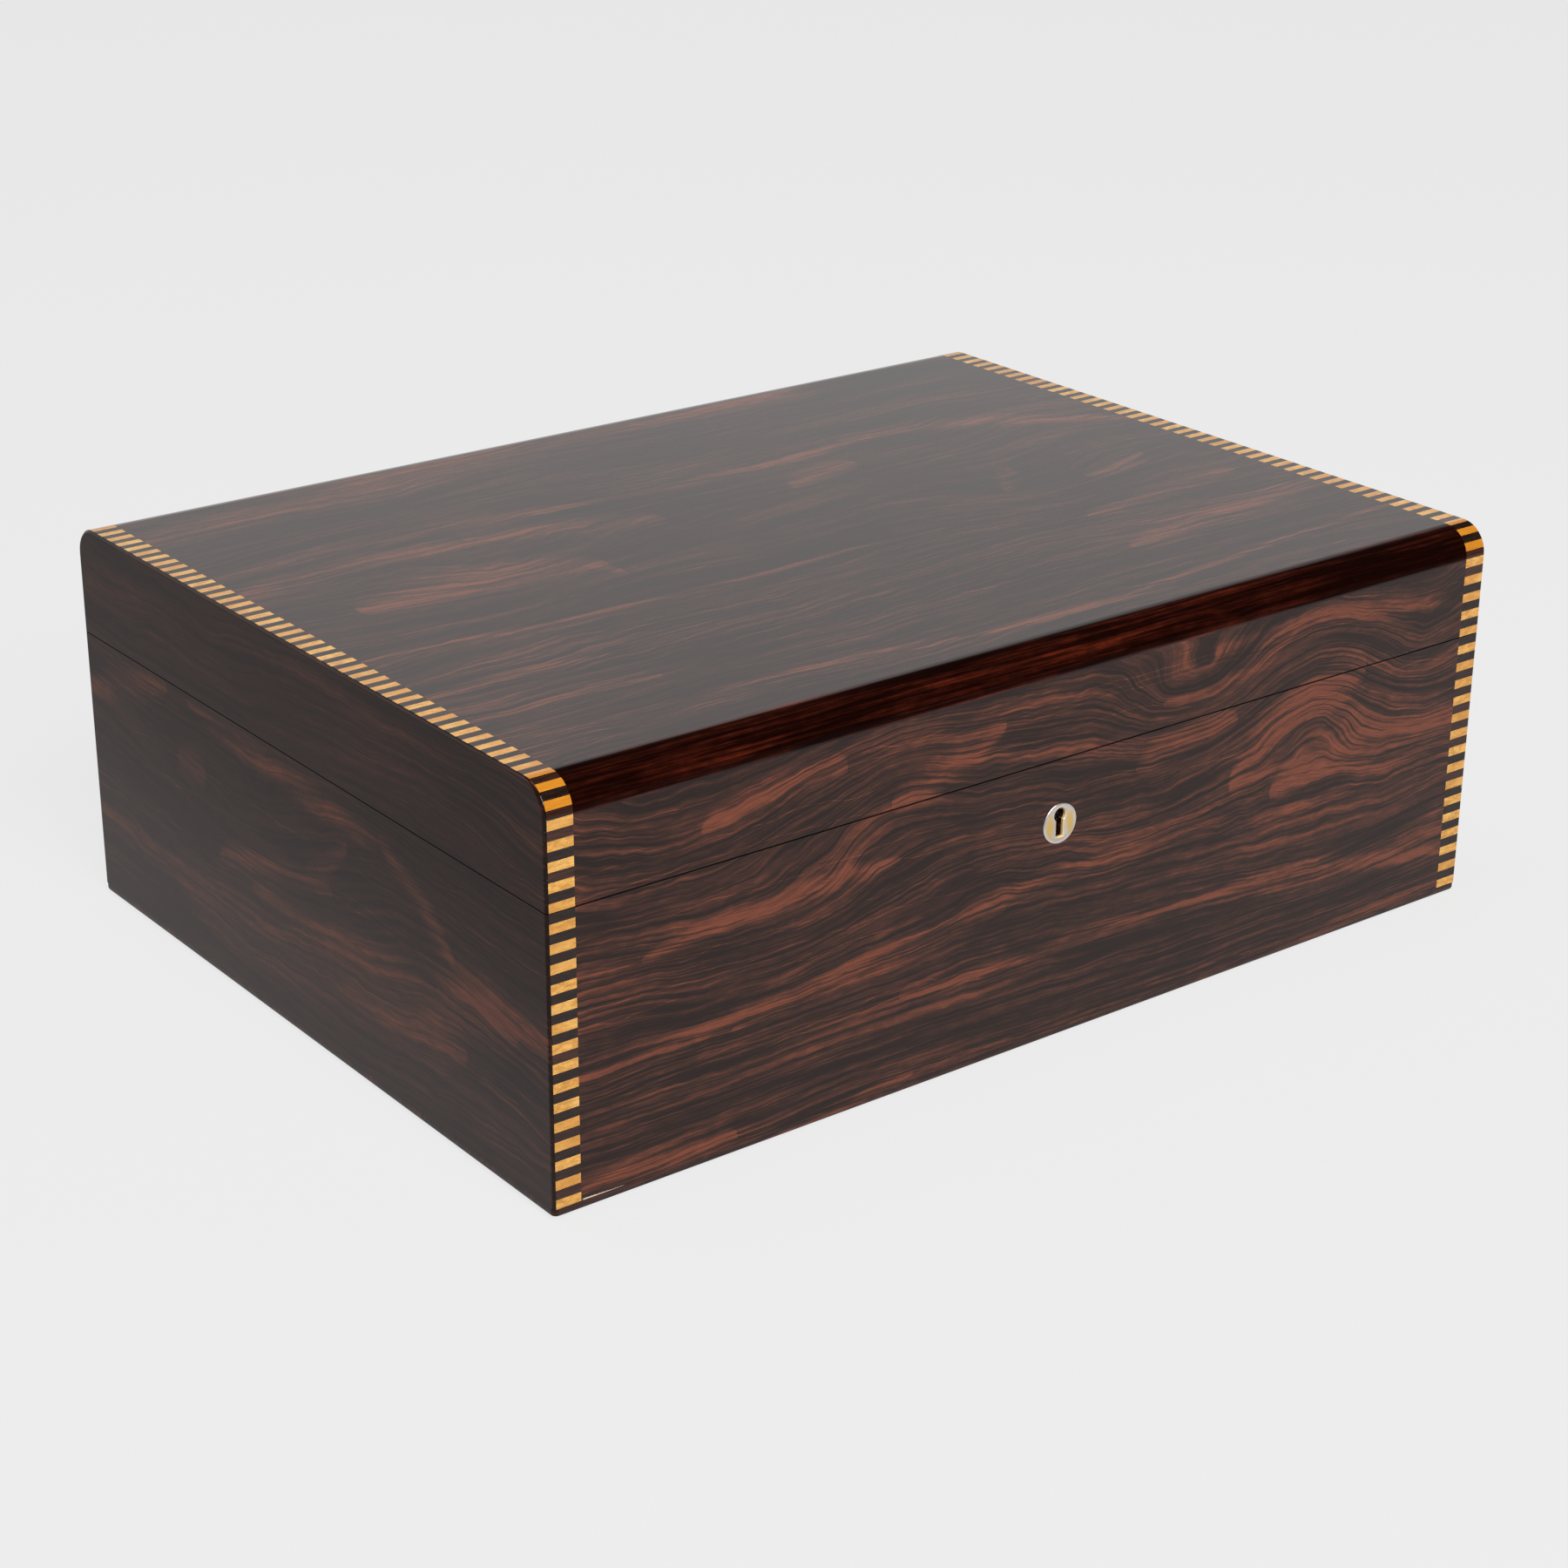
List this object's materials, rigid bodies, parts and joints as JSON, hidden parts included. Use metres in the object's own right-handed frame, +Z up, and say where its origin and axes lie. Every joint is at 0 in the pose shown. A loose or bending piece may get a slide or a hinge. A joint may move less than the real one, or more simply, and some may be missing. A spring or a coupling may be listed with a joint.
{
  "type": "inlaid wooden box",
  "caption": "Rectangular veneered wooden box with a hinged lockable lid, round keyhole plate, rounded top edges and block banding inlaid round both ends.",
  "frame": {"origin": "on the floor under the middle of the carcass, on the underside of the felt", "axes": "+X along the length to the right, +Y to the back where the hinges are, +Z up"},
  "size_m": [0.36, 0.2709, 0.1282],
  "materials": {
    "figured_rosewood": "high-gloss lacquer over figured dark rosewood veneer",
    "rosewood_lipping": "high-gloss lacquer over solid straight-grained rosewood",
    "block_banding": "high-gloss lacquer over alternating pale and dark wood blocks",
    "cedar": "planed, waxed",
    "floor_board": "plain board",
    "suede": "napped, matte",
    "baize": "matte felt",
    "brass": "polished",
    "nickel": "satin polished, warm",
    "steel": "satin"
  },
  "bodies": {
    "base": {"sole_board": "figured_rosewood", "base_felt": "baize", "floor_board": "floor_board", "floor_pad": "suede", "front_wall": "figured_rosewood", "back_wall": "figured_rosewood", "left_wall": "figured_rosewood", "right_wall": "figured_rosewood", "front_left_banding": "block_banding", "front_right_banding": "block_banding", "back_left_banding": "block_banding", "back_right_banding": "block_banding", "base_front_liner": "cedar", "base_back_liner": "cedar", "base_left_liner": "cedar", "base_right_liner": "cedar", "escutcheon": "nickel", "lock_case": "steel", "lock_cover": "steel", "lock_spring": "brass", "lock_left_screw": "steel", "lock_right_screw": "steel", "left_hinge_base_leaf": "brass", "left_hinge_base_leaf_left_screw": "brass", "left_hinge_base_leaf_right_screw": "brass", "left_hinge_pin": "steel", "right_hinge_base_leaf": "brass", "right_hinge_base_leaf_left_screw": "brass", "right_hinge_base_leaf_right_screw": "brass", "right_hinge_pin": "steel"},
    "lid": {"lid_top_panel": "figured_rosewood", "lid_front_rail": "figured_rosewood", "lid_back_rail": "figured_rosewood", "lid_left_rail": "figured_rosewood", "lid_right_rail": "figured_rosewood", "lid_front_lipping": "rosewood_lipping", "lid_back_lipping": "rosewood_lipping", "lid_front_left_banding": "block_banding", "lid_left_top_banding": "block_banding", "lid_back_left_banding": "block_banding", "lid_front_right_banding": "block_banding", "lid_right_top_banding": "block_banding", "lid_back_right_banding": "block_banding", "lid_front_liner": "cedar", "lid_back_liner": "cedar", "lid_left_liner": "cedar", "lid_right_liner": "cedar", "lid_pad": "suede", "link_plate": "steel", "link_plate_left_screw": "steel", "link_plate_right_screw": "steel", "left_hinge_lid_leaf": "brass", "left_hinge_lid_leaf_left_screw": "brass", "left_hinge_lid_leaf_right_screw": "brass", "right_hinge_lid_leaf": "brass", "right_hinge_lid_leaf_left_screw": "brass", "right_hinge_lid_leaf_right_screw": "brass"},
    "bolt": {"lock_bolt": "steel"}
  },
  "joints": [
    {"name": "lid_hinge", "type": "hinge", "parent": "base", "child": "lid", "pos_m": [0, 0.134, 0.0922], "axis": [-1, 0, 0], "range_deg": [0, 95]},
    {"name": "lock_bolt_slide", "type": "slide", "parent": "base", "child": "bolt", "axis": [1, 0, 0], "range_m": [0, 0.004]}
  ]
}
